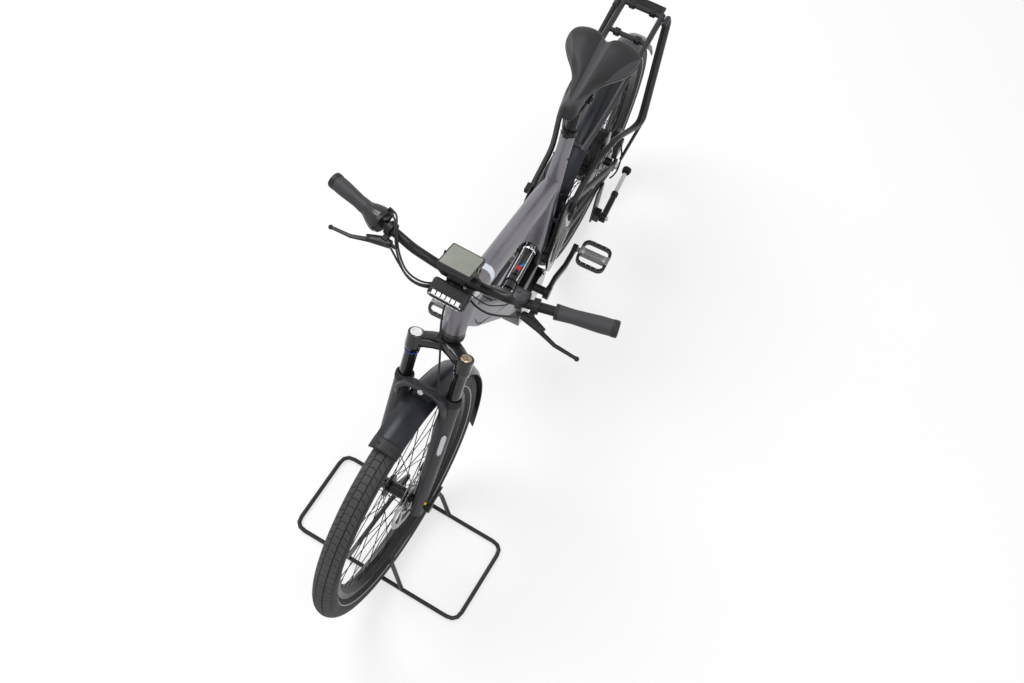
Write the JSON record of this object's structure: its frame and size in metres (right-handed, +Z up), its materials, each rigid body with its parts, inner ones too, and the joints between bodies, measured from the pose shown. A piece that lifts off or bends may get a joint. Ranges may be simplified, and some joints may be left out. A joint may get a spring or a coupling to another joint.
{
  "type": "electric bicycle",
  "caption": "Full-suspension electric bicycle with mid motor, belt drive, hub gear, mudguards and pannier rack, its front wheel held in a floor stand.",
  "frame": {"origin": "on the floor, halfway between the two wheel axles, in the bicycle's middle plane", "axes": "+X towards the front wheel, +Y to the rider's left, +Z up"},
  "size_m": [1.8848, 0.7145, 1.0916],
  "materials": {
    "gunmetal_paint": "satin",
    "cover_taupe": "matte",
    "motor_gloss": "gloss",
    "shock_black": "satin",
    "anthracite_powder": "satin",
    "steel": "satin",
    "rubber": "matte",
    "tyre_rubber": "matte",
    "black_paint": "satin",
    "saddle_black": "matte",
    "guard_anthracite": "matte",
    "rear_lens": "gloss",
    "black_plastic": "matte",
    "fork_gloss": "gloss",
    "grip_grey": "matte",
    "stand_black": "satin",
    "stand_leg_silver": "satin",
    "rim_black": "satin",
    "hub_black": "satin",
    "rotor_steel": "satin"
  },
  "bodies": {
    "frame": {"frame": "gunmetal_paint", "battery_cover": "cover_taupe", "motor": "motor_gloss", "shock": "shock_black", "swingarm": "anthracite_powder", "seatpost": "black_paint", "seat_clamp": "black_paint", "saddle": "saddle_black", "saddle_rails": "steel", "rack_deck": "anthracite_powder", "rack_loop_left": "anthracite_powder", "rack_loop_right": "anthracite_powder", "rear_mudguard": "guard_anthracite", "rear_light": "rear_lens", "belt": "rubber", "rear_caliper": "black_paint", "rear_axle": "steel", "kickstand_bracket": "black_paint"},
    "fork": {"fork_upper": "fork_gloss", "fork_lowers": "anthracite_powder", "front_mudguard": "guard_anthracite", "mudguard_bridge": "black_plastic", "stem": "black_paint", "headset_ring": "steel", "handlebar": "black_paint", "grip_left": "grip_grey", "grip_right": "grip_grey", "twist_shifter": "black_plastic", "remote": "black_plastic", "brake_lever_left": "black_paint", "brake_lever_right": "black_paint", "display": "black_plastic", "headlight": "black_plastic", "front_caliper": "black_paint", "front_axle": "black_paint", "wheel_stand": "stand_black"},
    "front_wheel": {"front_tyre": "tyre_rubber", "front_rim": "rim_black", "front_hub": "hub_black", "front_rotor": "rotor_steel"},
    "rear_wheel": {"rear_tyre": "tyre_rubber", "rear_rim": "rim_black", "rear_hub": "hub_black", "rear_rotor": "rotor_steel", "rear_sprocket": "black_paint"},
    "crank": {"crankset": "black_paint", "front_sprocket": "black_paint"},
    "pedal_left": {"pedal_left": "black_plastic"},
    "pedal_right": {"pedal_right": "black_plastic"},
    "kickstand": {"kickstand_leg": "stand_leg_silver"}
  },
  "joints": [
    {"name": "steering", "type": "hinge", "parent": "frame", "child": "fork", "pos_m": [0.5485, 0, 0.33681], "axis": [-0.3907, 0, 0.9205], "range_deg": [-55.1, 64.9]},
    {"name": "front_wheel_spin", "type": "hinge", "parent": "fork", "child": "front_wheel", "pos_m": [0.58885, -0.00376, 0.35394], "axis": [0.0786, 0.9963, 0.0334], "continuous": true},
    {"name": "rear_wheel_spin", "type": "hinge", "parent": "frame", "child": "rear_wheel", "pos_m": [-0.589, 0, 0.354], "axis": [0, 1, 0], "continuous": true},
    {"name": "crank_spin", "type": "hinge", "parent": "frame", "child": "crank", "pos_m": [-0.139, 0, 0.299], "axis": [0, 1, 0], "continuous": true},
    {"name": "pedal_left_spin", "type": "hinge", "parent": "crank", "child": "pedal_left", "pos_m": [-0.309, 0.14, 0.299], "axis": [0, 1, 0], "continuous": true},
    {"name": "pedal_right_spin", "type": "hinge", "parent": "crank", "child": "pedal_right", "pos_m": [0.031, -0.14, 0.299], "axis": [0, 1, 0], "continuous": true},
    {"name": "kickstand_swing", "type": "hinge", "parent": "frame", "child": "kickstand", "pos_m": [-0.4865, 0.109, 0.235], "axis": [0, -1, 0], "range_deg": [0, 100]}
  ]
}
